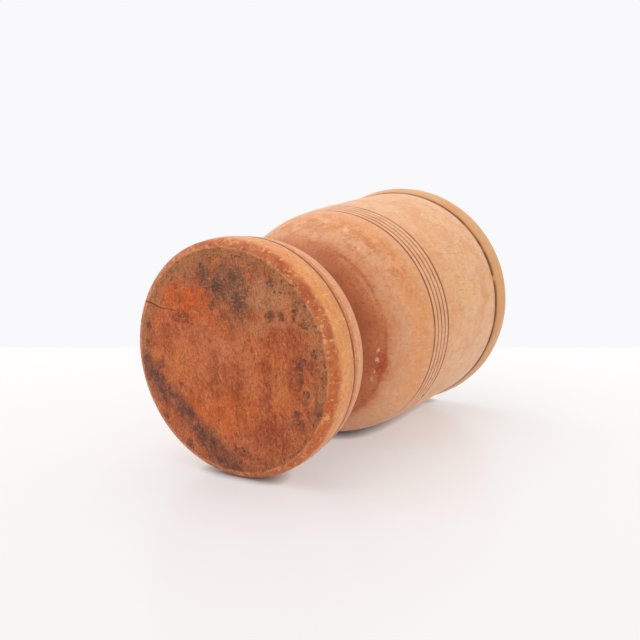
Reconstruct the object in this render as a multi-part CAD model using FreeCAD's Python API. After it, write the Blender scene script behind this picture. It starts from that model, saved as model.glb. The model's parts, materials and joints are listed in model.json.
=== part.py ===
import FreeCAD, Part

import math
import os

# A turned wooden mortar that lies on its side on a flat surface: its foot and its rim touch the surface.
# It is turned on one axis, so each piece is one outline revolved. A point of an outline is written
# (height, radius) in millimetres: height runs up the axis from the flat of the foot, and radius is
# measured from the axis.

# Driving dimensions of the outside.
FOOT_FACE_RADIUS = 36.0
FOOT_RADIUS = 39.15
FOOT_BACK_RADIUS = 37.2
WAIST_RADIUS = 25.2
BOWL_RADIUS = 43.7
BARREL_RADIUS = 48.0
RIM_RADIUS = 49.8

# Heights at which the outline changes.
FOOT_EDGE_HEIGHT = 2.0
FOOT_CROWN_HEIGHT = 6.8
FOOT_GROOVE_HEIGHT = 12.6
FOOT_BACK_HEIGHT = 20.8
NECK_HEIGHT = 25.0
WAIST_HEIGHT = 31.5
BOWL_HEIGHT = 66.0
RIM_HEIGHT = 126.2
RIM_CROWN_HEIGHT = 134.2

# Points that the curves pass through between those heights, as (height, radius).
FOOT_EDGE_MIDDLE = (0.7, 37.7)
FOOT_SHOULDER = (17.2, 38.15)
FOOT_BACK_MIDDLE = (22.4, 36.2)
FOOT_BACK_END = (23.0, 34.4)
FOOT_COVE = (23.6, 30.8)
FOOT_NECK_EDGE = (NECK_HEIGHT, 27.8)
BOWL_NECK_EDGE = (NECK_HEIGHT, 27.0)
FLARE = [(38.5, 27.6), (45.0, 34.2), (52.0, 39.2), (59.0, 42.1)]
BARREL = [(90.0, 45.9), (106.0, 46.9)]

# How round the foot's side, the rim's side and the lip are, as radii of their arcs.
FOOT_SIDE_CURVE = 34.0
RIM_SIDE_CURVE = 17.0
LIP_CURVE = 4.2
MOUTH_HEIGHT = RIM_CROWN_HEIGHT + LIP_CURVE

# The hollow: a slightly tapered wall, a round corner and a dished floor.
MOUTH_RADIUS = 40.0
HOLLOW_RADIUS = 36.5
HOLLOW_FLOOR_HEIGHT = 52.0
HOLLOW_FLOOR_CURVE = 60.0
HOLLOW_CORNER_CURVE = 22.0
INNER_LIP_CURVE = 1.4

# Glued joints: the bowl's tenon in the foot's socket, and the rim ring on the bowl's rebate.
GLUE_GAP = 0.1
TENON_RADIUS = 14.0
TENON_LENGTH = 14.0
SOCKET_SPARE_DEPTH = 0.8
REBATE_RADIUS = 44.2

# Grooves that the turner cut, with V sections whose width is measured at the surface.
RING_COUNT = 5
RING_PITCH = 2.6
RING_SWELL = 0.3
RING_WIDTH = 0.8
RING_DEPTH = 0.45
FOOT_GROOVE_WIDTH = 1.0
FOOT_GROOVE_DEPTH = 0.7
RIM_GROOVE_DEPTH = 1.5
RIM_GROOVE_HALF_WIDTH = 0.8


def at(point):
    height, radius = point
    return FreeCAD.Vector(radius, 0, height)


def line(start, end):
    return Part.LineSegment(at(start), at(end)).toShape()


def lines(*points):
    """Straight edges from each point to the next."""
    return [line(start, end) for start, end in zip(points, points[1:])]


def arc(start, middle, end):
    return Part.Arc(at(start), at(middle), at(end)).toShape()


def smooth(*points):
    """One curve through all the points."""
    curve = Part.BSplineCurve()
    curve.interpolate([at(point) for point in points])
    return curve.toShape()


def on_crown(height, crown, curve):
    """The point at a height on an arc with its crown at the point crown and the radius curve."""
    crown_height, crown_radius = crown
    drop = curve - math.sqrt(curve**2 - (height - crown_height) ** 2)
    return (height, crown_radius - drop)


def turn(edges):
    """Revolve a closed outline, whose edges are in order, into one solid."""
    face = Part.Face(Part.Wire(edges))
    return face.revolve(FreeCAD.Vector(0, 0, 0), FreeCAD.Vector(0, 0, 1), 360)


def notch(height, radius, width, depth):
    """The three points of a V groove in a surface of the given radius."""
    return (height - width / 2, radius), (height, radius - depth), (height + width / 2, radius)


FOOT_CROWN = (FOOT_CROWN_HEIGHT, FOOT_RADIUS)
RIM_CROWN = (RIM_CROWN_HEIGHT, RIM_RADIUS)


def make_foot():
    """The moulded disc, with a blind socket in its back."""
    side_start = on_crown(FOOT_EDGE_HEIGHT, FOOT_CROWN, FOOT_SIDE_CURVE)
    groove_radius = on_crown(FOOT_GROOVE_HEIGHT, FOOT_CROWN, FOOT_SIDE_CURVE)[1]
    groove = notch(FOOT_GROOVE_HEIGHT, groove_radius, FOOT_GROOVE_WIDTH, FOOT_GROOVE_DEPTH)
    face_edge = (0, FOOT_FACE_RADIUS)
    back = (FOOT_BACK_HEIGHT, FOOT_BACK_RADIUS)
    socket_radius = TENON_RADIUS + GLUE_GAP
    socket_floor = NECK_HEIGHT - TENON_LENGTH - SOCKET_SPARE_DEPTH
    edges = [
        line((0, 0), face_edge),
        arc(face_edge, FOOT_EDGE_MIDDLE, side_start),
        arc(side_start, FOOT_CROWN, groove[0]),
        *lines(*groove),
        arc(groove[2], FOOT_SHOULDER, back),
        arc(back, FOOT_BACK_MIDDLE, FOOT_BACK_END),
        arc(FOOT_BACK_END, FOOT_COVE, FOOT_NECK_EDGE),
    ]
    edges += lines(
        FOOT_NECK_EDGE,
        (NECK_HEIGHT, socket_radius),
        (socket_floor, socket_radius),
        (socket_floor, 0),
        (0, 0),
    )
    return turn(edges)


def hollow(mouth):
    """The hollow's outline from its mouth to the axis: wall, corner and floor, tangent to each other."""
    floor_centre = HOLLOW_FLOOR_HEIGHT + HOLLOW_FLOOR_CURVE
    corner_centre_radius = HOLLOW_RADIUS - HOLLOW_CORNER_CURVE
    between_centres = HOLLOW_FLOOR_CURVE - HOLLOW_CORNER_CURVE
    meeting = math.asin(corner_centre_radius / between_centres)
    corner_centre_height = floor_centre - between_centres * math.cos(meeting)

    def on_floor(angle):
        return (
            floor_centre - HOLLOW_FLOOR_CURVE * math.cos(angle),
            HOLLOW_FLOOR_CURVE * math.sin(angle),
        )

    def on_corner(angle):
        return (
            corner_centre_height - HOLLOW_CORNER_CURVE * math.cos(angle),
            corner_centre_radius + HOLLOW_CORNER_CURVE * math.sin(angle),
        )

    wall_foot = (corner_centre_height, HOLLOW_RADIUS)
    return [
        line(mouth, wall_foot),
        arc(wall_foot, on_corner((meeting + math.pi / 2) / 2), on_corner(meeting)),
        arc(on_floor(meeting), on_floor(meeting / 2), (HOLLOW_FLOOR_HEIGHT, 0)),
    ]


def make_bowl():
    """Tenon, neck, flare and barrel in one piece, hollowed from the mouth and rebated for the rim."""
    tenon_end = NECK_HEIGHT - TENON_LENGTH
    barrel_top = (RIM_HEIGHT - RIM_GROOVE_HALF_WIDTH, BARREL_RADIUS)
    groove_floor = (RIM_HEIGHT, BARREL_RADIUS - RIM_GROOVE_DEPTH)
    lip_start = (MOUTH_HEIGHT, MOUTH_RADIUS + INNER_LIP_CURVE)
    lip_middle = (
        MOUTH_HEIGHT - INNER_LIP_CURVE * (1 - math.sqrt(0.5)),
        MOUTH_RADIUS + INNER_LIP_CURVE * (1 - math.sqrt(0.5)),
    )
    lip_end = (MOUTH_HEIGHT - INNER_LIP_CURVE, MOUTH_RADIUS)
    rings = []
    for ring in range(RING_COUNT):
        ring_radius = BOWL_RADIUS + ring * RING_SWELL
        rings += notch(BOWL_HEIGHT + ring * RING_PITCH, ring_radius, RING_WIDTH, RING_DEPTH)
    edges = lines(
        (tenon_end, 0),
        (tenon_end, TENON_RADIUS),
        (NECK_HEIGHT, TENON_RADIUS),
        BOWL_NECK_EDGE,
    )
    edges.append(smooth(BOWL_NECK_EDGE, (WAIST_HEIGHT, WAIST_RADIUS), *FLARE, rings[0]))
    edges += lines(*rings)
    edges.append(smooth(rings[-1], *BARREL, barrel_top))
    edges += lines(
        barrel_top,
        groove_floor,
        (RIM_HEIGHT, REBATE_RADIUS),
        (MOUTH_HEIGHT, REBATE_RADIUS),
        lip_start,
    )
    edges.append(arc(lip_start, lip_middle, lip_end))
    edges += hollow(lip_end)
    edges.append(line((HOLLOW_FLOOR_HEIGHT, 0), (tenon_end, 0)))
    return turn(edges)


def make_rim_ring():
    """The bead around the mouth, which sits on the bowl's rebate."""
    side_start = on_crown(RIM_HEIGHT + RIM_GROOVE_HALF_WIDTH, RIM_CROWN, RIM_SIDE_CURVE)
    lip_centre_radius = RIM_RADIUS - LIP_CURVE
    lip_middle = (
        RIM_CROWN_HEIGHT + LIP_CURVE * math.sqrt(0.5),
        lip_centre_radius + LIP_CURVE * math.sqrt(0.5),
    )
    lip_end = (MOUTH_HEIGHT, lip_centre_radius)
    inner_radius = REBATE_RADIUS + GLUE_GAP
    side_middle = on_crown((side_start[0] + RIM_CROWN_HEIGHT) / 2, RIM_CROWN, RIM_SIDE_CURVE)
    groove_floor = (RIM_HEIGHT, BARREL_RADIUS - RIM_GROOVE_DEPTH)
    edges = lines((RIM_HEIGHT, inner_radius), groove_floor, side_start)
    edges.append(arc(side_start, side_middle, RIM_CROWN))
    edges.append(arc(RIM_CROWN, lip_middle, lip_end))
    edges += lines(lip_end, (MOUTH_HEIGHT, inner_radius), (RIM_HEIGHT, inner_radius))
    return turn(edges)


def lean_angle():
    """How far the axis rises towards the mouth, in degrees: the slope of the common tangent of the
    foot's side and the rim's side, which both rest on the surface."""
    run = RIM_CROWN_HEIGHT - FOOT_CROWN_HEIGHT
    rise = (RIM_RADIUS - RIM_SIDE_CURVE) - (FOOT_RADIUS - FOOT_SIDE_CURVE)
    tangent = math.atan2(rise, run) + math.asin((RIM_SIDE_CURVE - FOOT_SIDE_CURVE) / math.hypot(run, rise))
    return math.degrees(tangent)


def lay_down(pieces):
    """Lay the standing mortar on its side, mouth towards +Y, over the origin and on the XY plane."""
    origin = FreeCAD.Vector(0, 0, 0)
    lying = {}
    for name, piece in pieces.items():
        lying[name] = piece.rotated(origin, FreeCAD.Vector(1, 0, 0), lean_angle() - 90)
    box = Part.makeCompound(list(lying.values())).optimalBoundingBox(False)
    shift = FreeCAD.Vector(0, -box.Center.y, -box.ZMin)
    return {name: piece.translated(shift) for name, piece in lying.items()}


def main():
    pieces = {
        "foot": make_foot(),
        "bowl": make_bowl(),
        "rim_ring": make_rim_ring(),
    }
    os.makedirs("parts", exist_ok=True)
    print("lean", round(lean_angle(), 3), "degrees")
    for name, piece in lay_down(pieces).items():
        box = piece.optimalBoundingBox(False)
        print(name, piece.ShapeType, "valid", piece.isValid(), "volume", round(piece.Volume), "mm3")
        print("  from", [round(value, 2) for value in (box.XMin, box.YMin, box.ZMin)])
        print("  to", [round(value, 2) for value in (box.XMax, box.YMax, box.ZMax)])
        piece.exportStep(f"parts/{name}.step")


main()
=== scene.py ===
import json
import math

import bmesh
import bpy
import numpy as np
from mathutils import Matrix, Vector, noise

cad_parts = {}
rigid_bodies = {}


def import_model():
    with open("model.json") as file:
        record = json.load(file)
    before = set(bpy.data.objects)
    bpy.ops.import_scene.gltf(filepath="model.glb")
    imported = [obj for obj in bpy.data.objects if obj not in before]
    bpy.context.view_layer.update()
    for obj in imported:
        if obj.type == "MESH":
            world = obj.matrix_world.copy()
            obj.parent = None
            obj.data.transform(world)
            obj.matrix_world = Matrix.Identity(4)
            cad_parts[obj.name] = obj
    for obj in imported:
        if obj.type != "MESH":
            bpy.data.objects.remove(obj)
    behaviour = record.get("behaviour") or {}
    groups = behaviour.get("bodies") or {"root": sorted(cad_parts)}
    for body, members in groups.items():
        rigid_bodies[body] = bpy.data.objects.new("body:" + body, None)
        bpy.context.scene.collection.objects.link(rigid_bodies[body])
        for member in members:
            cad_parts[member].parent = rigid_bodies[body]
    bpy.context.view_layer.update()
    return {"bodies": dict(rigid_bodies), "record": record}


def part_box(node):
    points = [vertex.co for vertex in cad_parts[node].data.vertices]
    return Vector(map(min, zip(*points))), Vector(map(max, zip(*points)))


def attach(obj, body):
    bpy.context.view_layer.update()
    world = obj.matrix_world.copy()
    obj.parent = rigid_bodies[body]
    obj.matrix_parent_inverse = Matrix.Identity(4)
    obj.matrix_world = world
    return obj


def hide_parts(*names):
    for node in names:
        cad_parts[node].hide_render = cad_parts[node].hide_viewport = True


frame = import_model()

# A turned wooden mortar that lies on its side. Every piece is turned on one axis, so its shape is an
# outline of (height, radius) points: height runs up the axis from the flat of the foot, and radius is
# measured from the axis. Lengths are in millimetres until a mesh is made, and angles around the axis are
# in degrees, 0 towards +X and 90 at the upper side.

MM = 0.001

FOOT_MOUNT = next(mount for mount in frame["record"]["mounts"] if mount["name"] == "foot_face")
FACE_CENTRE = Vector(FOOT_MOUNT["pos_m"])
AXIS = -Vector(FOOT_MOUNT["axis"]).normalized()
RIGHT = Vector((1, 0, 0))
UPPER = RIGHT.cross(AXIS)
ROOT = next(iter(frame["bodies"]))


def largest_radius(node):
    """Half the width of a node, whose axis lies in the plane x = 0."""
    low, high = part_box(node)
    return (high.x - low.x) / 2 / MM


FOOT_RADIUS = largest_radius("foot")
BARREL_RADIUS = largest_radius("bowl")
RIM_RADIUS = largest_radius("rim_ring")
FOOT_FACE_RADIUS = 36.0
FOOT_SIDE_CURVE = 34.0
FOOT_CROWN_HEIGHT = 6.8
FOOT_EDGE_HEIGHT = 2.0
FOOT_GROOVE_HEIGHT = 12.6
NECK_HEIGHT = 25.0
WAIST_HEIGHT = 31.5
BOWL_HEIGHT = 66.0
BOWL_RADIUS = 43.7
RIM_HEIGHT = 126.2
RIM_CROWN_HEIGHT = 134.2
RIM_SIDE_CURVE = 17.0
LIP_CURVE = 4.2
MOUTH_HEIGHT = RIM_CROWN_HEIGHT + LIP_CURVE
MOUTH_RADIUS = 40.0
RING_COUNT = 5
RING_PITCH = 2.6
RING_SWELL = 0.3
TENON_RADIUS = 14.0
TENON_LENGTH = 14.0
REBATE_RADIUS = 44.2
GLUE_GAP = 0.1

# The bowl's outside from the waist to just below the rings: height, radius.
FLARE = [(WAIST_HEIGHT, 25.2), (38.5, 27.6), (45.0, 34.2), (52.0, 39.2), (59.0, 42.1)]


# ---------------------------------------------------------------------------------------------------
# Outlines. Each helper gives the points from its start up to, but not including, its end.
# ---------------------------------------------------------------------------------------------------


def straight(start, end, step):
    count = max(1, round(math.dist(start, end) / step))
    return [
        (start[0] + (end[0] - start[0]) * i / count, start[1] + (end[1] - start[1]) * i / count)
        for i in range(count)
    ]


def arc(start, middle, end, step):
    """The circle through three points."""
    (ax, ay), (bx, by), (cx, cy) = start, middle, end
    spread = 2 * (ax * (by - cy) + bx * (cy - ay) + cx * (ay - by))
    squares = (ax * ax + ay * ay, bx * bx + by * by, cx * cx + cy * cy)
    centre = (
        (squares[0] * (by - cy) + squares[1] * (cy - ay) + squares[2] * (ay - by)) / spread,
        (squares[0] * (cx - bx) + squares[1] * (ax - cx) + squares[2] * (bx - ax)) / spread,
    )
    radius = math.dist(start, centre)
    first, via, last = (
        math.atan2(y - centre[1], x - centre[0]) for x, y in (start, middle, end)
    )
    via = math.remainder(via - first, math.tau)
    sweep = math.remainder(last - first, math.tau)
    if via * sweep < 0:
        sweep += math.copysign(math.tau, via)
    count = max(2, round(abs(sweep) * radius / step))
    turns = [first + sweep * i / count for i in range(count)]
    return [(centre[0] + radius * math.cos(t), centre[1] + radius * math.sin(t)) for t in turns]


def smooth(points, step):
    """A Catmull-Rom curve through the points."""
    first, second = np.array(points[0]), np.array(points[1])
    last, before_last = np.array(points[-1]), np.array(points[-2])
    run = [2 * first - second] + [np.array(p) for p in points] + [2 * last - before_last]
    out = []
    for before, start, end, after in zip(run, run[1:], run[2:], run[3:]):
        count = max(1, round(math.dist(start, end) / step))
        for t in np.arange(count) / count:
            point = 2 * start + (end - before) * t
            point = point + (2 * before - 5 * start + 4 * end - after) * t**2
            point = point + (3 * start - before - 3 * end + after) * t**3
            out.append(tuple(point / 2))
    return out


def on_crown(height, crown_height, crown_radius, curve):
    """The radius, at a height, of a side that is rounded about its crown."""
    return crown_radius - curve + math.sqrt(curve**2 - (height - crown_height) ** 2)


def notch(height, radius, width, depth):
    """A turned groove with soft shoulders and a narrow round floor."""
    across = (-0.5, -0.3, -0.12, 0.0, 0.12, 0.3)
    down = (0.0, 0.45, 0.93, 1.0, 0.93, 0.45)
    return [(height + width * a, radius - depth * d) for a, d in zip(across, down)]


def foot_outline():
    crown = (FOOT_CROWN_HEIGHT, FOOT_RADIUS, FOOT_SIDE_CURVE)
    face_edge = (0, FOOT_FACE_RADIUS)
    side_start = (FOOT_EDGE_HEIGHT, on_crown(FOOT_EDGE_HEIGHT, *crown))
    groove_radius = on_crown(FOOT_GROOVE_HEIGHT, *crown)
    groove_width = 0.9
    groove = notch(FOOT_GROOVE_HEIGHT, groove_radius, groove_width, 0.75)
    groove_end = (FOOT_GROOVE_HEIGHT + groove_width / 2, groove_radius)
    back = (20.8, 37.2)
    back_end = (23.0, 34.4)
    neck_edge = (NECK_HEIGHT, 27.8)
    socket_radius = TENON_RADIUS + GLUE_GAP
    socket_floor = NECK_HEIGHT - TENON_LENGTH - 0.8
    outline = straight((0, 0), face_edge, 0.42)
    outline += arc(face_edge, (0.7, 37.7), side_start, 0.3)
    outline += arc(side_start, (FOOT_CROWN_HEIGHT, FOOT_RADIUS), groove[0], 0.55)
    outline += groove
    outline += arc(groove_end, (17.2, 38.15), back, 0.6)
    outline += arc(back, (22.4, 36.2), back_end, 0.45)
    outline += arc(back_end, (23.6, 30.8), neck_edge, 0.9)
    outline += straight(neck_edge, (NECK_HEIGHT, socket_radius), 2.5)
    outline += straight((NECK_HEIGHT, socket_radius), (socket_floor, socket_radius), 4.0)
    outline += straight((socket_floor, socket_radius), (socket_floor, 0), 5.0)
    return outline + [(socket_floor, 0)]


def hollow_outline():
    """From the mouth to the axis: a tapered wall, a round corner and a dished floor."""
    wall, corner, dish, floor_height = 36.5, 22.0, 60.0, 52.0
    meeting = math.asin((wall - corner) / (dish - corner))
    corner_height = floor_height + dish - (dish - corner) * math.cos(meeting)
    outline = straight((MOUTH_HEIGHT - 1.4, MOUTH_RADIUS), (corner_height, wall), 1.4)
    for turn in np.linspace(math.pi / 2, meeting, 16)[:-1]:
        height = corner_height - corner * math.cos(turn)
        outline.append((height, wall - corner + corner * math.sin(turn)))
    for turn in np.linspace(meeting, 0, 18):
        outline.append((floor_height + dish - dish * math.cos(turn), dish * math.sin(turn)))
    return outline


def bowl_outline():
    tenon_end = NECK_HEIGHT - TENON_LENGTH
    neck_edge = (NECK_HEIGHT, 27.0)
    ring_width = 0.62
    outline = straight((tenon_end, 0), (tenon_end, TENON_RADIUS), 5.0)
    outline += straight((tenon_end, TENON_RADIUS), (NECK_HEIGHT, TENON_RADIUS), 4.0)
    outline += straight((NECK_HEIGHT, TENON_RADIUS), neck_edge, 3.0)
    outline += smooth([neck_edge, *FLARE, (BOWL_HEIGHT - ring_width / 2, BOWL_RADIUS)], 0.8)
    for ring in range(RING_COUNT):
        height = BOWL_HEIGHT + ring * RING_PITCH
        radius = BOWL_RADIUS + ring * RING_SWELL
        ring_end = (height + ring_width / 2, radius)
        next_ring = (height + RING_PITCH - ring_width / 2, radius + RING_SWELL)
        outline += notch(height, radius, ring_width, 0.42)
        if ring + 1 < RING_COUNT:
            outline += straight(ring_end, next_ring, 0.5)
    barrel_top = (RIM_HEIGHT - 0.8, BARREL_RADIUS)
    groove_floor = (RIM_HEIGHT, BARREL_RADIUS - 1.5)
    inner_lip = (MOUTH_HEIGHT, MOUTH_RADIUS + 1.4)
    outline += smooth([ring_end, (90.0, 45.9), (106.0, 46.9), barrel_top], 0.95)
    outline += arc(barrel_top, (RIM_HEIGHT - 0.25, BARREL_RADIUS - 0.5), groove_floor, 0.25)
    outline += straight(groove_floor, (RIM_HEIGHT, REBATE_RADIUS), 0.8)
    outline += straight((RIM_HEIGHT, REBATE_RADIUS), (MOUTH_HEIGHT, REBATE_RADIUS), 4.0)
    outline += straight((MOUTH_HEIGHT, REBATE_RADIUS), inner_lip, 0.6)
    outline += arc(
        inner_lip, (MOUTH_HEIGHT - 0.41, MOUTH_RADIUS + 0.41), (MOUTH_HEIGHT - 1.4, MOUTH_RADIUS), 0.35
    )
    return outline + hollow_outline()


def rim_outline():
    crown = (RIM_CROWN_HEIGHT, RIM_RADIUS, RIM_SIDE_CURVE)
    side_start = (RIM_HEIGHT + 0.8, on_crown(RIM_HEIGHT + 0.8, *crown))
    side_middle = (RIM_HEIGHT + 4.4, on_crown(RIM_HEIGHT + 4.4, *crown))
    lip_radius = RIM_RADIUS - LIP_CURVE
    diagonal = LIP_CURVE * math.sqrt(0.5)
    lip_middle = (RIM_CROWN_HEIGHT + diagonal, lip_radius + diagonal)
    inner_radius = REBATE_RADIUS + GLUE_GAP
    groove_floor = (RIM_HEIGHT, BARREL_RADIUS - 1.5)
    outline = straight((RIM_HEIGHT, inner_radius), groove_floor, 0.8)
    outline += arc(groove_floor, (RIM_HEIGHT + 0.2, side_start[1] - 0.5), side_start, 0.25)
    outline += arc(side_start, side_middle, crown[:2], 0.45)
    outline += arc(crown[:2], lip_middle, (MOUTH_HEIGHT, lip_radius), 0.45)
    outline += straight((MOUTH_HEIGHT, lip_radius), (MOUTH_HEIGHT, inner_radius), 0.5)
    outline += straight((MOUTH_HEIGHT, inner_radius), (RIM_HEIGHT, inner_radius), 3.0)
    return outline


# ---------------------------------------------------------------------------------------------------
# Turning: an outline revolved into grids of points, worn and marked, and made into a mesh
# ---------------------------------------------------------------------------------------------------


def even_angles(count):
    return np.linspace(-180, 180, count, endpoint=False)


def angles_with_detail(count, start, end, detail):
    """Even angles around the axis, with closer ones between start and end."""
    coarse = even_angles(count)
    coarse = coarse[(coarse < start) | (coarse >= end)]
    fine = np.linspace(start, end, detail, endpoint=False)
    return np.sort(np.concatenate([coarse, fine]))


class Turning:
    """Rows follow the outline and columns go around the axis. The grids hold each point's height and
    radius. The mark of a point runs from 0 (sound wood) to 1 (dark damage or dirt), and its inside is 1 in
    the hollow."""

    def __init__(self, outline, degrees):
        line = np.array(outline)
        self.on_axis = line[:, 1] < 1e-6
        self.is_ring = not self.on_axis[0]
        self.degrees = degrees[None, :]
        self.angle = np.radians(self.degrees)
        columns = len(degrees)
        self.height = np.repeat(line[:, :1], columns, axis=1)
        self.radius = np.repeat(line[:, 1:], columns, axis=1)
        before, after = np.roll(line, 1, axis=0), np.roll(line, -1, axis=0)
        if not self.is_ring:
            before[0], after[-1] = line[0], line[-1]
        along = after - before
        length = np.maximum(np.linalg.norm(along, axis=1), 1e-9)
        self.out_height = (-along[:, 1] / length)[:, None]
        self.out_radius = (along[:, 0] / length)[:, None]
        self.mark = np.zeros_like(self.height)
        self.inside = np.zeros_like(self.height)

    def places(self):
        across = self.radius * np.cos(self.angle)
        up = self.radius * np.sin(self.angle)
        return np.stack([across, up, self.height], axis=-1)

    def press(self, depth, mark=0.0):
        """Push the surface in by a grid of depths, and darken it by a grid of marks."""
        depth = np.where(self.on_axis[:, None], depth.mean(axis=1, keepdims=True), depth)
        self.height = self.height - depth * self.out_height
        self.radius = self.radius - depth * self.out_radius * ~self.on_axis[:, None]
        self.mark = np.maximum(self.mark, mark)

    def make(self, name):
        rows, columns = self.height.shape
        index = np.arange(rows * columns).reshape(rows, columns)
        faces = []
        for row in range(rows if self.is_ring else rows - 1):
            here, there = index[row], index[(row + 1) % rows]
            next_here, next_there = np.roll(here, -1), np.roll(there, -1)
            if self.on_axis[row]:
                faces += zip(there, next_there, here[:1].repeat(columns))
            elif self.on_axis[(row + 1) % rows]:
                faces += zip(next_here, here, there[:1].repeat(columns))
            else:
                faces += zip(here, there, next_there, next_here)
        turned = self.places().reshape(-1, 3)
        world = np.array(FACE_CENTRE) + turned @ np.array([RIGHT, UPPER, AXIS]) * MM
        mesh = bpy.data.meshes.new(name)
        mesh.from_pydata(world.tolist(), [], faces)
        place_layer = mesh.attributes.new("turned", "FLOAT_VECTOR", "POINT")
        place_layer.data.foreach_set("vector", turned.astype(np.float32).ravel())
        for layer_name, grid in (("mark", self.mark), ("inside", self.inside)):
            layer = mesh.attributes.new(layer_name, "FLOAT", "POINT")
            layer.data.foreach_set("value", grid.astype(np.float32).ravel())
        close_up(mesh)
        piece = bpy.data.objects.new(name, mesh)
        bpy.context.scene.collection.objects.link(piece)
        return piece


def close_up(mesh):
    """Drop the unused points on the axis, turn the faces outward, and shade the surface smoothly but for
    its sharp edges."""
    sharp = math.radians(40)
    work = bmesh.new()
    work.from_mesh(mesh)
    unused = [vertex for vertex in work.verts if not vertex.link_faces]
    bmesh.ops.delete(work, geom=unused, context="VERTS")
    bmesh.ops.recalc_face_normals(work, faces=work.faces)
    for face in work.faces:
        face.smooth = True
    for edge in work.edges:
        edge.smooth = edge.calc_face_angle(0.0) < sharp
    work.to_mesh(mesh)
    work.free()


def roughness(places, size, seed, stretch=(1, 1, 1)):
    """Smooth noise from -1 to 1 over the points, with lumps of the given size."""
    scaled = (places / size / np.array(stretch)).reshape(-1, 3)
    shift = Vector((seed * 17.3, seed * -9.1, seed * 5.7))
    values = [noise.noise(Vector(point) + shift) for point in scaled.tolist()]
    return np.array(values).reshape(places.shape[:-1])


def falloff(distance):
    """1 at distance 0, down to 0 at distance 1, smoothly."""
    near = np.clip(1 - distance, 0, 1)
    return near * near * (3 - 2 * near)


def flare_radius(height):
    """The bowl's outer radius at a height on its flare."""
    heights, radii = zip(*FLARE)
    return float(np.interp(height, heights, radii))


def around_axis(height, degrees, radius):
    """The place at an angle around the axis."""
    turn = math.radians(degrees)
    return np.array((radius * math.cos(turn), radius * math.sin(turn), height))


# ---------------------------------------------------------------------------------------------------
# Wear and damage on each piece
# ---------------------------------------------------------------------------------------------------

# Pits in the foot's face: across, up, radius, depth.
FACE_PITS = [
    (4, -29, 1.0, 0.8),
    (-29, -7, 0.9, 0.5),
    (-28, -3, 0.6, 0.4),
    (-17, -31, 0.9, 0.5),
    (-5, 34, 0.7, 0.3),
    (23, 23, 0.9, 0.4),
    (27, 18, 0.7, 0.4),
    (29, 14, 0.7, 0.3),
    (33, 6, 0.6, 0.3),
    (-5, 18, 0.8, 0.4),
]
# The crack in the foot's face runs inward from its edge: across, up.
CRACK_START = np.array((-35, 18))
CRACK_END = np.array((-17, 15))
# The joint under the rim is chipped clean here.
CHIPPED_DEGREES = 13


def joint_dirt(depth, degrees):
    """Dirt in the joint under the rim, with one place where the wood is chipped clean."""
    chipped = falloff(np.abs(degrees - CHIPPED_DEGREES) / 2.4)
    return np.clip(1.2 * falloff(depth), 0, 1) * (1 - 0.9 * chipped)


def wear_foot(foot):
    places = foot.places()
    across, up, height = places[..., 0], places[..., 1], places[..., 2]
    on_face = (height < 0.05) & (foot.radius < FOOT_FACE_RADIUS + 0.1)
    dish = 0.25 * (1 - (foot.radius / FOOT_FACE_RADIUS) ** 2)
    ripple = 0.07 * roughness(places, 7.0, 1) + 0.03 * roughness(places, 2.2, 2)
    tool_lines = 0.018 * np.sin(foot.radius * 5.2) * roughness(places, 9.0, 3)
    foot.press(np.where(on_face, dish + ripple + tool_lines, 0.0))

    for pit_across, pit_up, size, depth in FACE_PITS:
        away = np.hypot(across - pit_across, up - pit_up) / size
        dent = falloff(away * 0.8) * on_face
        foot.press(depth * dent, dent)

    run = CRACK_END - CRACK_START
    length = np.linalg.norm(run)
    along = ((across - CRACK_START[0]) * run[0] + (up - CRACK_START[1]) * run[1]) / length
    aside = ((across - CRACK_START[0]) * -run[1] + (up - CRACK_START[1]) * run[0]) / length
    wander = 0.25 * np.sin(along * 0.5) + 0.3 * roughness(places, 3.0, 4)
    taper = np.clip((length - along) / length, 0, 1) ** 0.7
    in_crack = falloff(np.abs(aside - wander) / (0.14 + 0.3 * taper))
    in_crack *= (along > -2.0) * (along < length) * (height < 1.6) * (foot.radius < 39)
    foot.press(0.9 * in_crack * taper, 0.8 * in_crack)

    chip = falloff(np.linalg.norm(places - around_axis(0.2, -151, 37.3), axis=-1) / 2.0)
    foot.press(0.8 * chip, 0.35 * chip)
    edge = falloff(np.abs(foot.radius - FOOT_FACE_RADIUS - 0.6) / 1.6) * (height < 2.2)
    nibbles = np.clip(roughness(places, 1.7, 5) - 0.22, 0, 1)
    foot.press(0.9 * edge * nibbles)

    side = (height > 1.5) & (foot.radius > 34)
    foot.press(np.where(side, 0.09 * roughness(places, 11.0, 6) + 0.03 * roughness(places, 2.5, 7), 0.0))
    knot = falloff(np.linalg.norm(places - around_axis(2.9, 9, 38.8), axis=-1) / 0.9)
    foot.press(0.15 * knot, 0.8 * knot)
    groove_dirt = falloff(np.abs(height - FOOT_GROOVE_HEIGHT) / 0.75) * side
    foot.mark = np.maximum(foot.mark, groove_dirt)


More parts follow.
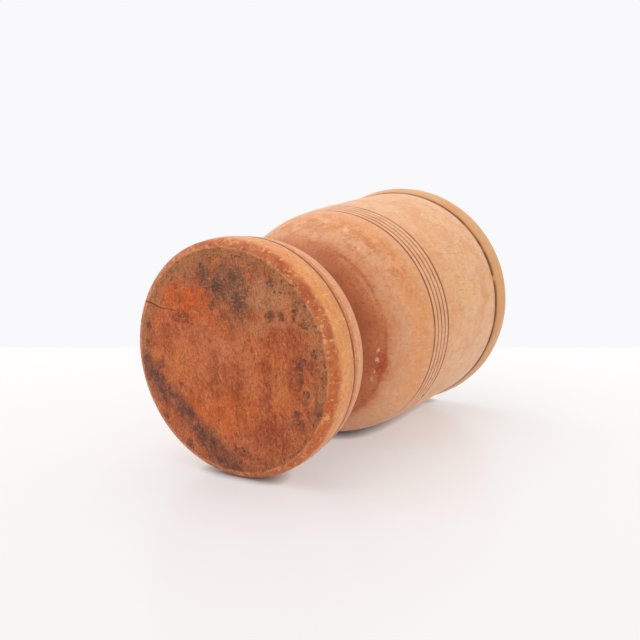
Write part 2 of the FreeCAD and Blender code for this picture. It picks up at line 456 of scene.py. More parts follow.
def wear_bowl(bowl):
    places = bowl.places()
    height = places[..., 2]
    outside = (height > 26) & (bowl.out_radius > -0.2) & (bowl.radius > 24) & (height < RIM_HEIGHT - 1)
    inside = (height > 51) & (bowl.out_radius < 0.2) & (bowl.radius < MOUTH_RADIUS + 0.6)
    bowl.inside = np.where(inside, 1.0, 0.0)
    lumps = 0.12 * roughness(places, 16.0, 8) + 0.035 * roughness(places, 4.0, 9, (1, 1, 0.5))
    tool_waves = 0.02 * np.sin(height * 3.4) * np.clip(roughness(places, 20.0, 10) + 0.4, 0, 1)
    bowl.press(np.where(outside, lumps + tool_waves, 0.0))
    inner_ridges = 0.06 * np.sin(height * 2.1) + 0.1 * roughness(places, 8.0, 11)
    bowl.press(np.where(inside, inner_ridges, 0.0))

    for ring in range(RING_COUNT):
        ring_height = BOWL_HEIGHT + ring * RING_PITCH
        darkness = 1.0 if ring in (0, RING_COUNT - 1) else 0.8
        dirt = np.clip(1.2 * falloff(np.abs(height - ring_height) / 0.72), 0, 1) * outside
        bowl.mark = np.maximum(bowl.mark, darkness * dirt)
    dirt = joint_dirt((RIM_HEIGHT - height) / 2.0, bowl.degrees) * (bowl.radius > 44.3)
    bowl.mark = np.maximum(bowl.mark, dirt)

    for scar_height, scar_degrees, size, depth in [
        (54, 68, 0.7, 0.25),
        (50, 55, 0.6, 0.25),
        (46, 61, 0.5, 0.2),
        (43, -8, 1.0, 0.25),
        (43, -17, 1.2, 0.3),
        (43, -25, 1.0, 0.25),
    ]:
        centre = around_axis(scar_height, scar_degrees, flare_radius(scar_height))
        away = np.linalg.norm((places - centre) / np.array((1, 1, 0.7)), axis=-1) / size
        bowl.press(depth * falloff(away))
    above_gouge = height - 76.0
    aside = (bowl.degrees + 40.5 + above_gouge * 2.2) * 0.75
    gouge = falloff(np.hypot(aside / 1.1, above_gouge / 2.0)) * outside
    bowl.press(0.3 * gouge, gouge)


def wear_rim(rim):
    places = rim.places()
    height = places[..., 2]
    outside = (height > RIM_HEIGHT + 0.9) & (rim.radius > REBATE_RADIUS + 0.3)
    lumps = 0.08 * roughness(places, 13.0, 12) + 0.03 * roughness(places, 3.0, 13)
    nicks = 0.5 * np.clip(roughness(places, 2.6, 14) - 0.42, 0, 1) * (height > RIM_CROWN_HEIGHT + 2)
    rim.press(np.where(outside, lumps + nicks, 0.0))
    rim.mark = np.maximum(rim.mark, joint_dirt((height - RIM_HEIGHT) / 1.9, rim.degrees))
    knot = falloff(np.linalg.norm(places - around_axis(129.6, 31, 49.2), axis=-1) / 0.8)
    rim.press(0.12 * knot, 0.6 * knot)
    inner_line = falloff((rim.radius - REBATE_RADIUS) / 0.5) * (height > MOUTH_HEIGHT - 0.3)
    rim.mark = np.maximum(rim.mark, 0.8 * inner_line)


# ---------------------------------------------------------------------------------------------------
# Wood: layers of colour over the turned place (across, up, height), in linear colours
# ---------------------------------------------------------------------------------------------------


class Wood:
    """A material that is built up from layers of colour, each laid over the ones before."""

    def __init__(self, name):
        self.material = bpy.data.materials.new(name)
        self.material.use_nodes = True
        self.tree = self.material.node_tree
        self.shader = self.tree.nodes["Principled BSDF"]
        self.place = self.attribute("turned", "Vector")
        split = self.node("ShaderNodeSeparateXYZ", {"Vector": self.place})
        self.across, self.up, self.height = split.outputs
        flat = self.node("ShaderNodeCombineXYZ", {"X": self.across, "Y": self.up}).outputs[0]
        self.radius = self.vector("LENGTH", flat, out="Value")
        self.mark = self.attribute("mark", "Fac")
        self.inside = self.attribute("inside", "Fac")
        self.colour = None

    def attribute(self, name, output):
        node = self.tree.nodes.new("ShaderNodeAttribute")
        node.attribute_name = name
        return node.outputs[output]

    def node(self, kind, inputs, **settings):
        node = self.tree.nodes.new(kind)
        for setting, value in settings.items():
            setattr(node, setting, value)
        for socket, value in inputs.items():
            self.feed(node.inputs[socket], value)
        return node

    def feed(self, socket, value):
        if isinstance(value, bpy.types.NodeSocket):
            self.tree.links.new(value, socket)
        elif isinstance(value, (tuple, list)) and len(socket.default_value) == 4:
            socket.default_value = (*value, 1.0)
        else:
            socket.default_value = value

    def math(self, operation, first, second=0.0):
        return self.node("ShaderNodeMath", {0: first, 1: second}, operation=operation).outputs[0]

    def vector(self, operation, first, second=(0, 0, 0), out="Vector"):
        made = self.node("ShaderNodeVectorMath", {0: first, 1: second}, operation=operation)
        return made.outputs[out]

    def times(self, *values):
        product = values[0]
        for value in values[1:]:
            product = self.math("MULTIPLY", product, value)
        return product

    def rise(self, value, start, end, low=0.0, high=1.0):
        """From low to high, smoothly, as the value goes from start to end."""
        inputs = {"Value": value, "From Min": start, "From Max": end, "To Min": low, "To Max": high}
        made = self.node("ShaderNodeMapRange", inputs, interpolation_type="SMOOTHSTEP")
        return made.outputs["Result"]

    def band(self, value, start, end, soft):
        """1 while the value is between start and end."""
        return self.times(
            self.rise(value, start - soft, start + soft), self.rise(value, end + soft, end - soft)
        )

    def grain(self, size, seed, stretch=(1, 1, 1), detail=3.0, rough=0.55, twist=0.0):
        """Noise around 0.5, whose lumps are about size millimetres, times the stretch."""
        scale = [1 / (size * part) for part in stretch]
        inputs = {"Vector": self.vector("MULTIPLY", self.place, scale), "W": seed * 3.7, "Scale": 1.0}
        inputs |= {"Detail": detail, "Roughness": rough, "Distortion": twist}
        return self.node("ShaderNodeTexNoise", inputs, noise_dimensions="4D").outputs["Fac"]

    def patch(self, centre, size, soft=0.6, wobble=0.5, seed=0.0, lump=5.0):
        """1 inside an ellipsoid around a centre, with an uneven edge."""
        away = self.vector("SUBTRACT", self.place, centre)
        away = self.vector("MULTIPLY", away, [1 / part for part in size])
        distance = self.vector("LENGTH", away, out="Value")
        uneven = self.math("SUBTRACT", self.grain(lump, seed), 0.5)
        distance = self.math("ADD", distance, self.times(uneven, wobble * 3))
        return self.rise(distance, 1 + soft / 2, 1 - soft / 2)

    def blend(self, amount, colour):
        """Lay a colour over what is there."""
        made = self.node("ShaderNodeMix", {}, data_type="RGBA")
        factor, below, above = made.inputs[0], made.inputs[6], made.inputs[7]
        self.feed(factor, amount)
        self.feed(below, self.colour)
        self.feed(above, colour)
        self.colour = made.outputs[2]

    def darken_marks(self, deep):
        """Red-brown beside each mark and a deep colour in it, fainter in some places."""
        faint = self.rise(self.grain(7, 60, detail=4), 0.38, 0.58, 0.62, 1.0)
        beside = self.times(self.rise(self.mark, 0.0, 0.55, 0, 0.75), faint)
        self.blend(beside, (0.48, 0.165, 0.06))
        self.blend(self.times(self.rise(self.mark, 0.4, 0.95, 0, 0.92), faint), deep)

    def finish(self, gloss, shine, relief, relief_depth):
        """Roughness, a soft sheen and a fine relief, whose depth is in millimetres."""
        self.feed(self.shader.inputs["Base Color"], self.colour)
        self.feed(self.shader.inputs["Roughness"], gloss)
        self.shader.inputs["Specular IOR Level"].default_value = shine
        self.shader.inputs["Sheen Weight"].default_value = 0.14
        self.shader.inputs["Sheen Roughness"].default_value = 0.4
        bump = self.node("ShaderNodeBump", {"Height": relief, "Distance": relief_depth * MM})
        self.feed(self.shader.inputs["Normal"], bump.outputs[0])
        return self.material


def stain_face(wood):
    """End grain, stained red-brown, with the orange, dark red and olive patches of its use."""
    wood.colour = (0.49, 0.105, 0.032)
    warm = wood.rise(wood.grain(9, 1, detail=5, rough=0.65), 0.44, 0.58)
    wood.blend(wood.times(warm, 0.85), (0.62, 0.175, 0.06))
    dark = wood.rise(wood.grain(4, 2, (0.8, 1.4, 1), 5, 0.68), 0.47, 0.60)
    wood.blend(wood.times(dark, 0.65), (0.31, 0.05, 0.018))
    for centre, size, strength, colour in [
        ((-5, -17, 0), (13, 6, 9), 0.8, (0.64, 0.13, 0.02)),
        ((-14, 20, 0), (11, 7, 9), 0.95, (0.62, 0.10, 0.012)),
        ((-18, -3, 0), (10, 6, 9), 0.7, (0.64, 0.175, 0.045)),
        ((-4, 3, 0), (11, 7, 9), 0.6, (0.60, 0.18, 0.075)),
        ((19, -5, 0), (5, 8, 9), 0.7, (0.64, 0.19, 0.045)),
        ((26, 2, 0), (5, 10, 9), 0.7, (0.27, 0.04, 0.016)),
        ((15, -4, 0), (2, 7, 9), 0.7, (0.26, 0.033, 0.01)),
        ((4, -8, 0), (2, 8, 9), 0.5, (0.25, 0.033, 0.01)),
        ((-5, -4, 0), (2, 6, 9), 0.7, (0.27, 0.036, 0.012)),
        ((-18, 13, 0), (4, 2, 9), 0.8, (0.24, 0.033, 0.012)),
        ((17, -22, 0), (8, 5, 9), 0.75, (0.28, 0.045, 0.018)),
        ((2, -33, 0), (15, 5, 9), 0.75, (0.32, 0.065, 0.026)),
        ((16, 22, 0), (12, 7, 9), 0.85, (0.50, 0.225, 0.105)),
        ((1, 25, 0), (9, 7, 9), 0.95, (0.17, 0.08, 0.044)),
        ((6, 17, 0), (4, 6, 9), 0.85, (0.20, 0.07, 0.036)),
        ((-14, 29, 0), (10, 4, 9), 0.8, (0.36, 0.145, 0.065)),
    ]:
        seed = 3 + centre[0] * 0.31 + centre[1] * 0.17
        wood.blend(wood.times(wood.patch(centre, size, 1.3, 1.4, seed, 5.0), strength), colour)
    uneven_radius = wood.math("ADD", wood.radius, wood.times(wood.grain(4, 8, detail=5), 8.0))
    olive_rim = wood.times(wood.rise(uneven_radius, 35.2, 38.6), wood.rise(wood.up, -24, -4, 0.25, 0.85))
    wood.blend(olive_rim, (0.38, 0.155, 0.065))
    for grain, start, end, strength, colour in [
        (wood.grain(2.2, 6, (0.8, 1.4, 1), 5, 0.7), 0.5, 0.62, 0.45, (0.66, 0.19, 0.05)),
        (wood.grain(1.5, 18, (1, 1, 1), 5, 0.7), 0.5, 0.62, 0.4, (0.24, 0.035, 0.012)),
        (wood.grain(0.9, 19, (0.8, 1.3, 1), 3, 0.7), 0.48, 0.62, 0.35, (0.66, 0.22, 0.07)),
        (wood.grain(0.8, 20, (0.8, 1.3, 1), 3, 0.7), 0.5, 0.64, 0.4, (0.20, 0.035, 0.014)),
    ]:
        wood.blend(wood.times(wood.rise(grain, start, end), strength), colour)
    streaks = wood.rise(wood.grain(3.6, 7, (0.8, 3, 1), 4, twist=0.8), 0.52, 0.66)
    wood.blend(wood.times(streaks, wood.rise(wood.up, 6, -6), 0.4), (0.25, 0.042, 0.016))


# Dark smudges on the foot's face: across, up, radius.
FACE_SMUDGES = [
    (-7, 27, 2.2),
    (-2, 24, 2.0),
    (4, 27, 1.4),
    (6, 20, 2.0),
    (-5, 18, 1.1),
    (18, 26, 1.3),
    (17, 16, 1.4),
    (21, 16, 0.9),
    (26, 18, 1.3),
    (29, 14, 1.1),
    (32, 5, 0.9),
    (27, 1, 1.3),
    (27, -3, 0.8),
    (29, -7, 0.8),
    (33, -13, 1.3),
    (25, -14, 1.2),
    (27, -17, 0.9),
    (-32, 10, 1.0),
    (-33, 4, 1.0),
    (-34, -1, 1.1),
    (-28, -3, 1.1),
    (-31, -7, 1.5),
    (-28, -8, 1.1),
    (-20, -9, 0.8),
    (-27, -14, 1.9),
    (-21, -18, 1.9),
    (-17, -19, 1.4),
    (-28, -22, 1.2),
    (-12, -26, 1.8),
    (-8, -28, 1.5),
    (-18, -30, 1.3),
    (-6, -33, 0.9),
    (4, -29, 1.2),
]


def spot_face(wood):
    """A dark band low on the left, smudges and dark spots, pale flecks of bare fibre and dark pores."""
    low_left = wood.band(wood.math("ADD", wood.up, wood.times(wood.across, 0.875)), -40, -31, 3)
    smear = wood.rise(wood.grain(6, 15, detail=5, rough=0.65), 0.34, 0.54)
    wood.blend(wood.times(smear, low_left, 0.7), (0.155, 0.05, 0.034))
    blotches = wood.rise(wood.grain(2.6, 9, detail=4, twist=0.3), 0.51, 0.6)
    wood.blend(wood.times(blotches, low_left, 0.7), (0.10, 0.038, 0.032))
    for across, up, size in FACE_SMUDGES:
        seed = across * 0.7 + up * 0.3
        smudge = wood.patch((across, up, 0), (size, size * 1.3, 9), 1.7, 1.5, seed, 1.1)
        wood.blend(wood.times(smudge, 0.78), (0.105, 0.038, 0.028))
    right_edge = wood.times(wood.rise(wood.across, 14, 24), wood.rise(wood.radius, 23, 29))
    top_edge = wood.times(wood.rise(wood.up, 14, 22), wood.rise(wood.radius, 17, 25))
    bottom_edge = wood.times(wood.rise(wood.up, -20, -26), 0.8)
    left_edge = wood.times(wood.rise(wood.across, -27, -31), wood.rise(wood.up, 8, -2))
    spotted = wood.math("MAXIMUM", wood.math("MAXIMUM", right_edge, top_edge), bottom_edge)
    spotted = wood.math("MAXIMUM", spotted, left_edge)
    spots = wood.rise(wood.grain(1.9, 10, (1, 1.3, 1), 3), 0.58, 0.65)
    wood.blend(wood.times(spots, spotted, 0.82), (0.095, 0.03, 0.026))
    shadows = wood.rise(wood.grain(5, 16, detail=4), 0.5, 0.66)
    wood.blend(wood.times(shadows, spotted, 0.45), (0.20, 0.07, 0.035))
    edge_specks = wood.times(wood.rise(wood.radius, 26, 34), wood.rise(wood.grain(1.0, 11), 0.6, 0.68))
    wood.blend(wood.times(edge_specks, 0.7), (0.12, 0.04, 0.028))
    where = wood.rise(wood.grain(7, 13), 0.36, 0.6, 0.3, 1.0)
    flecks = wood.rise(wood.grain(0.42, 12, (0.8, 2.0, 1), 2, twist=0.8), 0.54, 0.72)
    wood.blend(wood.times(flecks, where, 0.5), (0.76, 0.37, 0.18))
    scratches = wood.rise(wood.grain(0.5, 17, (5, 0.8, 1), 1, twist=0.5), 0.6, 0.72)
    wood.blend(wood.times(scratches, wood.rise(wood.up, 6, 14), 0.35), (0.66, 0.36, 0.19))
    pores = wood.rise(wood.grain(0.5, 14, (0.8, 1.6, 1), 1), 0.56, 0.7)
    wood.blend(wood.times(pores, 0.45), (0.20, 0.045, 0.02))


def oil_side(wood):
    """An oiled orange band, a red-brown stripe beside the face and a paler band behind the groove."""
    wood.colour = (0.80, 0.32, 0.09)
    wood.blend(wood.rise(wood.grain(9, 22, (1, 1, 0.5), 4), 0.42, 0.62), (0.85, 0.385, 0.14))
    wood.blend(wood.rise(wood.grain(4, 23, (1.5, 1.5, 0.6), 4), 0.5, 0.68, 0, 0.7), (0.72, 0.25, 0.075))
    wood.blend(wood.times(wood.band(wood.height, 9.5, 13, 1.0), 0.6), (0.70, 0.255, 0.08))
    wood.blend(wood.rise(wood.height, 12.8, 13.6), (0.82, 0.385, 0.18))
    pink = wood.times(wood.rise(wood.grain(5, 29, (1, 1, 0.5)), 0.45, 0.62), wood.rise(wood.height, 13, 14))
    wood.blend(wood.times(pink, 0.7), (0.77, 0.31, 0.155))
    red_line = wood.times(wood.band(wood.height, 13.0, 14.8, 0.5), wood.rise(wood.grain(5, 30), 0.3, 0.5))
    wood.blend(wood.times(red_line, 0.75), (0.54, 0.13, 0.055))
    wood.blend(wood.rise(wood.height, 20.0, 24.0), (0.42, 0.125, 0.05))
    # Painted shade: the side turns darker red towards the floor.
    wood.blend(wood.rise(wood.up, -8, -36, 0, 0.35), (0.62, 0.20, 0.08))
    wood.blend(wood.rise(wood.up, 24, 38, 0, 0.35), (0.72, 0.27, 0.10))
    mottled = wood.rise(wood.grain(2.4, 58, (1.4, 1.4, 0.8), 5, 0.68), 0.47, 0.60)
    wood.blend(wood.times(mottled, 0.5), (0.70, 0.23, 0.06))
    uneven = wood.math("ADD", wood.height, wood.times(wood.grain(3, 24, (1.6, 1.6, 1), 6, 0.7), 4.6))
    broken = wood.rise(wood.grain(5, 57, detail=5, rough=0.65), 0.34, 0.6, 0.45, 0.95)
    wood.blend(wood.times(wood.rise(uneven, 6.6, 3.8), broken), (0.42, 0.085, 0.035))
    low_right = wood.times(
        wood.rise(wood.up, 8, -4), wood.rise(wood.up, -34, -22), wood.rise(uneven, 6.8, 4.0)
    )
    wood.blend(wood.times(low_right, 0.6), (0.58, 0.13, 0.03))
    streaks = wood.rise(wood.grain(1.6, 64, (3, 3, 0.6), 5, 0.65), 0.5, 0.62)
    wood.blend(wood.times(streaks, 0.22), (0.74, 0.29, 0.11))
    fine = wood.rise(wood.grain(0.9, 61, (1, 1, 1.8), 3, 0.7), 0.5, 0.64)
    wood.blend(wood.times(fine, 0.35), (0.60, 0.19, 0.06))
    bright = wood.rise(wood.grain(1.1, 62, (1, 1, 1.8), 3, 0.7), 0.52, 0.66)
    wood.blend(wood.times(bright, 0.6), (0.95, 0.48, 0.18))
    pores = wood.rise(wood.grain(0.7, 25, (1, 1, 1.6), 2), 0.58, 0.72)
    wood.blend(wood.times(pores, 0.45), (0.46, 0.13, 0.045))
    specks = wood.rise(wood.grain(1.3, 59, detail=1), 0.7, 0.75)
    wood.blend(wood.times(specks, 0.6), (0.26, 0.08, 0.035))


def foot_wood():
    wood = Wood("foot_wood")
    stain_face(wood)
    spot_face(wood)
    face_colour = wood.colour
    oil_side(wood)
    near_face = wood.rise(wood.height, 6, 5)
    wood.blend(wood.times(wood.rise(wood.radius, 36.7, 36.2), near_face), face_colour)
    worn_edge = wood.times(
        wood.band(wood.radius, 36.1, 36.7, 0.2), wood.rise(wood.grain(3, 26), 0.38, 0.6), near_face
    )
    wood.blend(wood.times(worn_edge, 0.7), (0.60, 0.29, 0.12))
    wood.darken_marks((0.10, 0.03, 0.014))
    relief = wood.grain(0.5, 27, detail=2)
    gloss = wood.rise(wood.grain(5, 28), 0.3, 0.7, 0.36, 0.52)
    return wood.finish(gloss, 0.15, relief, 0.09)


def tint_bowl(wood):
    """Pinkish beige with orange mottling, duller on the flare and dark red-brown in the neck."""
    wood.colour = (0.80, 0.375, 0.175)
    wood.blend(wood.rise(wood.height, 68, 92), (0.84, 0.46, 0.225))
    # Painted sheen: the barrel is paler and pinker just below the rim.
    wood.blend(wood.rise(wood.height, 116, 125, 0, 0.5), (0.88, 0.54, 0.32))
    golden = wood.times(wood.rise(wood.grain(13, 65, detail=4), 0.44, 0.6), wood.rise(wood.height, 76, 90))
    wood.blend(wood.times(golden, 0.7), (0.84, 0.47, 0.185))
    orange = wood.rise(wood.grain(12, 31, (1, 1, 0.8), 5, 0.6, twist=0.4), 0.46, 0.6)
    wood.blend(wood.times(orange, 0.65), (0.80, 0.325, 0.105))
    pale = wood.rise(wood.grain(9, 32, (1, 1, 0.7), 4), 0.5, 0.68)
    wood.blend(wood.times(pale, 0.5), (0.82, 0.45, 0.27))
    wander = wood.times(wood.math("SUBTRACT", wood.grain(10, 33, detail=3), 0.5), 12.0)
    level = wood.math("ADD", wood.height, wander)
    between_rings = wood.band(wood.height, BOWL_HEIGHT, BOWL_HEIGHT + RING_PITCH * (RING_COUNT - 1), 0.4)
    wood.blend(wood.times(between_rings, 0.55), (0.88, 0.50, 0.27))
    wood.blend(wood.times(wood.band(level, 55, 63, 3.0), 0.7), (0.80, 0.33, 0.12))
    wood.blend(wood.times(wood.band(level, 47, 53, 2.5), 0.8), (0.70, 0.345, 0.19))
    wood.blend(wood.rise(level, 50, 42), (0.53, 0.15, 0.048))
    wood.blend(wood.rise(level, 43, 37), (0.38, 0.088, 0.028))
    streaks = wood.rise(wood.grain(2.6, 34, (7, 7, 0.4), 4), 0.46, 0.68)
    wood.blend(wood.times(streaks, wood.rise(wood.height, 52, 42), 0.4), (0.36, 0.09, 0.032))
    red_line = wood.times(wood.band(wood.height, 44.4, 45.3, 0.4), wood.rise(wood.grain(8, 35), 0.4, 0.6))
    wood.blend(wood.times(red_line, 0.8), (0.45, 0.10, 0.03))
    mottled = wood.times(
        wood.rise(wood.grain(3.5, 42, (1.3, 1.3, 0.9), 6, 0.68), 0.44, 0.58),
        wood.rise(wood.up, 8, 20),
        wood.band(wood.height, 46, 60, 4),
    )
    wood.blend(wood.times(mottled, 0.85), (0.58, 0.18, 0.045))
    red = wood.patch(tuple(around_axis(44.6, -15, 33.6)), (3.0, 5.0, 1.8), 1.0, 0.9, 36, 2.0)
    wood.blend(wood.times(red, 0.95), (0.44, 0.055, 0.01))
    # Painted shade: the flare is darker on its underside, towards the floor.
    painted_underside_shade = wood.times(wood.rise(wood.up, -25, -41), wood.band(wood.height, 46, 64, 6))
    wood.blend(wood.times(painted_underside_shade, 0.7), (0.50, 0.19, 0.07))


def mark_bowl(wood):
    """Fibres along the axis, scuffs, pale chips near the neck and two hairline cracks."""
    clouds = wood.rise(wood.grain(3.5, 46, (1, 1, 1.4), 5, 0.65), 0.46, 0.66)
    above_neck = wood.rise(wood.height, 38, 54)
    wood.blend(wood.times(clouds, above_neck, 0.35), (0.72, 0.28, 0.10))
    bare = wood.rise(wood.grain(2.6, 47, (1, 1, 1.6), 5, 0.65), 0.5, 0.7)
    wood.blend(wood.times(bare, above_neck, 0.3), (0.88, 0.52, 0.31))
    blots = wood.rise(wood.grain(7, 49, (1, 1, 0.8), 5, 0.65, twist=0.3), 0.5, 0.64)
    wood.blend(wood.times(blots, above_neck, 0.45), (0.76, 0.29, 0.085))
    fine = wood.rise(wood.grain(1.2, 50, (1, 1, 1.8), 4, 0.7), 0.5, 0.66)
    wood.blend(wood.times(fine, above_neck, 0.35), (0.62, 0.22, 0.07))
    bright = wood.rise(wood.grain(1.0, 63, (1, 1, 2.2), 4, 0.7), 0.5, 0.66)
    wood.blend(wood.times(bright, above_neck, 0.35), (0.90, 0.54, 0.32))
    fibres = wood.rise(wood.grain(0.7, 37, (1, 1, 8), 3), 0.54, 0.70)
    wood.blend(wood.times(fibres, above_neck, 0.45), (0.60, 0.24, 0.09))
    old_fibres = wood.rise(wood.grain(0.9, 67, (1, 1, 7), 4, 0.65), 0.48, 0.66)
    wood.blend(wood.times(old_fibres, wood.rise(wood.height, 52, 42), 0.5), (0.28, 0.06, 0.02))
    scuffs = wood.rise(wood.grain(1.5, 38, (2.5, 2.5, 0.5), 3), 0.6, 0.74)
    wood.blend(wood.times(scuffs, above_neck, 0.35), (0.88, 0.56, 0.37))
    dots = wood.rise(wood.grain(0.9, 43, detail=1), 0.7, 0.76)
    wood.blend(wood.times(dots, 0.45), (0.48, 0.15, 0.06))
    flaking = wood.rise(wood.grain(1.6, 48, (1, 1, 0.6), 2, twist=0.5), 0.40, 0.50)
    for height, degrees, size in [
        (43, -6, (0.9, 1.3, 0.4)),
        (43, -12, (0.9, 1.5, 0.55)),
        (43, -18, (0.9, 1.1, 0.35)),
        (43, -25, (0.9, 1.0, 0.4)),
        (54, 68, (1.2, 0.7, 0.9)),
        (50, 55, (0.8, 0.7, 0.7)),
    ]:
        centre = tuple(around_axis(height, degrees, flare_radius(height)))
        chip = wood.patch(centre, size, 0.8, 1.2, degrees, 0.8)
        wood.blend(wood.times(chip, flaking, 0.75), (0.80, 0.52, 0.34))
    degrees = wood.times(wood.math("ARCTAN2", wood.up, wood.across), math.degrees(1))
    for start, end, first, last in [(46.5, 61, -3, -6), (83, 108, 35, 30)]:
        slope = (last - first) / (end - start)
        line = wood.math("ADD", wood.times(wood.math("SUBTRACT", wood.height, start), slope), first)
        wobble = wood.times(wood.math("SUBTRACT", wood.grain(5, 44, detail=5), 0.5), 4.0)
        line = wood.math("ADD", line, wobble)
        aside = wood.math("ABSOLUTE", wood.math("SUBTRACT", degrees, line))
        crack = wood.times(wood.rise(aside, 0.35, 0.12), wood.band(wood.height, start, end, 1.5))
        wood.blend(wood.times(crack, 0.3), (0.45, 0.19, 0.09))


def darken_hollow(wood):
    """Use has stained the hollow, most of all its floor."""
    hollow = (0.56, 0.26, 0.11)
    wood.blend(wood.inside, hollow)
    stains = wood.rise(wood.grain(10, 39, (1, 1, 1.6), 4), 0.42, 0.66)
    wood.blend(wood.times(wood.inside, stains, 0.7), (0.38, 0.155, 0.065))
    wood.blend(wood.times(wood.inside, wood.rise(wood.height, 82, 56), 0.6), (0.27, 0.105, 0.045))
    turning_lines = wood.rise(wood.grain(1.1, 66, (12, 12, 0.7), 4, 0.65), 0.46, 0.66)
    wood.blend(wood.times(wood.inside, turning_lines, 0.45), (0.30, 0.12, 0.05))
    bare = wood.rise(wood.grain(1.2, 68, (1, 1, 3), 4, 0.7), 0.54, 0.70)
    wood.blend(wood.times(wood.inside, bare, 0.35), (0.66, 0.34, 0.16))
    bruises = wood.rise(wood.grain(2.4, 45, detail=3), 0.58, 0.68)
    low_part = wood.rise(wood.height, 95, 66)
    wood.blend(wood.times(wood.inside, bruises, low_part, 0.5), (0.16, 0.06, 0.03))


def bowl_wood():
    wood = Wood("bowl_wood")
    tint_bowl(wood)
    mark_bowl(wood)
    darken_hollow(wood)
    wood.darken_marks((0.17, 0.058, 0.023))
    relief = wood.grain(0.45, 40, (1, 1, 5), 2)
    gloss = wood.rise(wood.grain(6, 41), 0.3, 0.7, 0.36, 0.5)
    return wood.finish(gloss, 0.3, relief, 0.05)


def rim_wood():
    """Ochre, with turning streaks around it and a paler worn lip."""
    wood = Wood("rim_wood")
    wood.colour = (0.74, 0.375, 0.15)
    wood.blend(wood.rise(wood.grain(10, 51, (1, 1, 0.6), 4), 0.42, 0.64), (0.72, 0.335, 0.12))
    streaks = wood.rise(wood.grain(3, 52, (2.5, 2.5, 0.7), 4), 0.52, 0.72)
    wood.blend(wood.times(streaks, 0.55), (0.62, 0.28, 0.10))
    blots = wood.rise(wood.grain(4, 56, detail=5, rough=0.65), 0.48, 0.64)
    wood.blend(wood.times(blots, 0.45), (0.76, 0.40, 0.17))
    fibres = wood.rise(wood.grain(0.8, 53, (4, 4, 1), 3), 0.54, 0.70)
    wood.blend(wood.times(fibres, 0.4), (0.52, 0.23, 0.085))
    wood.blend(wood.rise(wood.height, 129.5, 126.5, 0, 0.45), (0.62, 0.25, 0.08))
    wood.blend(wood.rise(wood.height, 136.4, 138.2, 0, 0.5), (0.80, 0.48, 0.26))
    wood.darken_marks((0.15, 0.06, 0.026))
    relief = wood.grain(0.5, 54, (2.5, 2.5, 1), 2)
    gloss = wood.rise(wood.grain(5, 55), 0.3, 0.7, 0.36, 0.5)
    return wood.finish(gloss, 0.3, relief, 0.05)


# ---------------------------------------------------------------------------------------------------
# The pieces
# ---------------------------------------------------------------------------------------------------


def add_piece(node, turning, wood):
    piece = turning.make(node + "_turned")
    piece.data.materials.append(wood)
    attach(piece, ROOT)
    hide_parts(node)


def add_foot():
    turning = Turning(foot_outline(), angles_with_detail(480, 136, 158, 80))
    wear_foot(turning)
    add_piece("foot", turning, foot_wood())


def add_bowl():
    turning = Turning(bowl_outline(), even_angles(370))
    wear_bowl(turning)
    add_piece("bowl", turning, bowl_wood())


def add_rim_ring():
    turning = Turning(rim_outline(), even_angles(560))
    wear_rim(turning)
    add_piece("rim_ring", turning, rim_wood())


# ---------------------------------------------------------------------------------------------------
# Camera, floor and light
# ---------------------------------------------------------------------------------------------------

TO_LIGHT = (-0.3, -0.1, 1.0)
# From the middle of the foot's face, in millimetres, and in degrees.
CAMERA_OFFSET = (136.6, -175.7, 40.7)
CAMERA_DOWN = 7.01
CAMERA_HEADING = 30.32


def add_camera():
    data = bpy.data.cameras.new("camera")
    data.lens = 40.0
    data.sensor_width = 36.0
    camera = bpy.data.objects.new("camera", data)
    camera.location = FACE_CENTRE + Vector(CAMERA_OFFSET) * MM
    camera.rotation_euler = (math.radians(90 - CAMERA_DOWN), 0, math.radians(CAMERA_HEADING))
    bpy.context.scene.collection.objects.link(camera)
    bpy.context.scene.camera = camera


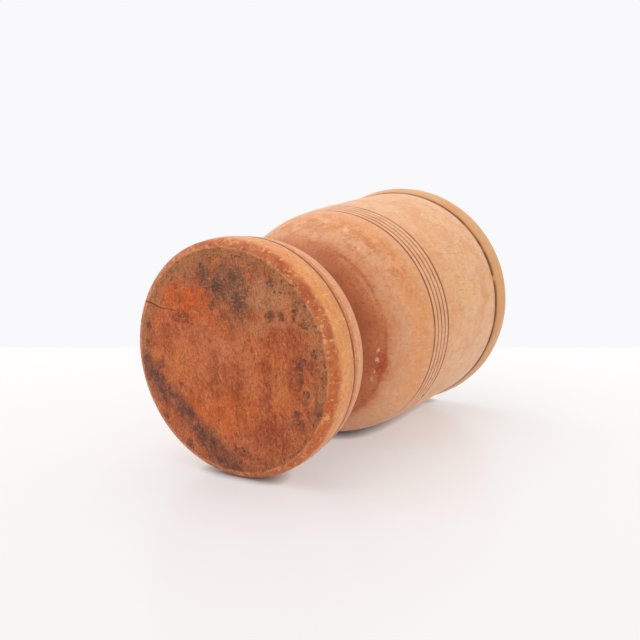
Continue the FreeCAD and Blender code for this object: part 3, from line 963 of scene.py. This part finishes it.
def lit_panel():
    """A pale sheet that glows a little, except close to what it bears, so that shadows stay light."""
    material = bpy.data.materials.new("lit_panel")
    material.use_nodes = True
    shader = material.node_tree.nodes["Principled BSDF"]
    shader.inputs["Base Color"].default_value = (0.43, 0.42, 0.42, 1)
    shader.inputs["Specular IOR Level"].default_value = 0.15
    shader.inputs["Emission Strength"].default_value = 0.425
    shader.inputs["Roughness"].default_value = 0.3
    open_air = material.node_tree.nodes.new("ShaderNodeAmbientOcclusion")
    open_air.inputs["Color"].default_value = (1.0, 0.985, 0.98, 1)
    open_air.inputs["Distance"].default_value = 3.5 * MM
    material.node_tree.links.new(open_air.outputs["Color"], shader.inputs["Emission Color"])
    return material


def add_floor():
    """A pale table top, turned to face the camera, whose far edge the camera looks over."""
    far, near, aside = 0.21, -1.6, 1.6  # metres from the middle of the object
    heading = bpy.context.scene.camera.rotation_euler.z
    ahead = Vector((-math.sin(heading), math.cos(heading), 0))
    sideways = Vector((math.cos(heading), math.sin(heading), 0))
    corners = [
        ahead * near - sideways * aside,
        ahead * near + sideways * aside,
        ahead * far + sideways * aside,
        ahead * far - sideways * aside,
    ]
    mesh = bpy.data.meshes.new("table_top")
    mesh.from_pydata(corners, [], [(0, 1, 2, 3)])
    mesh.materials.append(lit_panel())
    floor = bpy.data.objects.new("table_top", mesh)
    bpy.context.scene.collection.objects.link(floor)


def add_light():
    """Even light from all round, a backdrop of its own colour for the camera, and a soft sun above."""
    world = bpy.data.worlds.new("studio")
    world.use_nodes = True
    nodes, links = world.node_tree.nodes, world.node_tree.links
    lighting = nodes["Background"]
    lighting.inputs["Color"].default_value = (1.0, 1.0, 1.0, 1)
    lighting.inputs["Strength"].default_value = 0.85
    seen = nodes.new("ShaderNodeBackground")
    seen.inputs["Color"].default_value = (0.947, 0.947, 0.965, 1)
    choice = nodes.new("ShaderNodeMixShader")
    path = nodes.new("ShaderNodeLightPath")
    links.new(path.outputs["Is Camera Ray"], choice.inputs[0])
    links.new(lighting.outputs[0], choice.inputs[1])
    links.new(seen.outputs[0], choice.inputs[2])
    links.new(choice.outputs[0], nodes["World Output"].inputs[0])
    bpy.context.scene.world = world
    data = bpy.data.lights.new("window", "SUN")
    data.energy = 1.1
    data.angle = math.radians(70)
    sun = bpy.data.objects.new("window", data)
    sun.rotation_euler = Vector(TO_LIGHT).to_track_quat("Z", "Y").to_euler()
    bpy.context.scene.collection.objects.link(sun)
    bpy.context.scene.view_settings.view_transform = "Standard"


add_foot()
add_bowl()
add_rim_ring()
add_camera()
add_floor()
add_light()
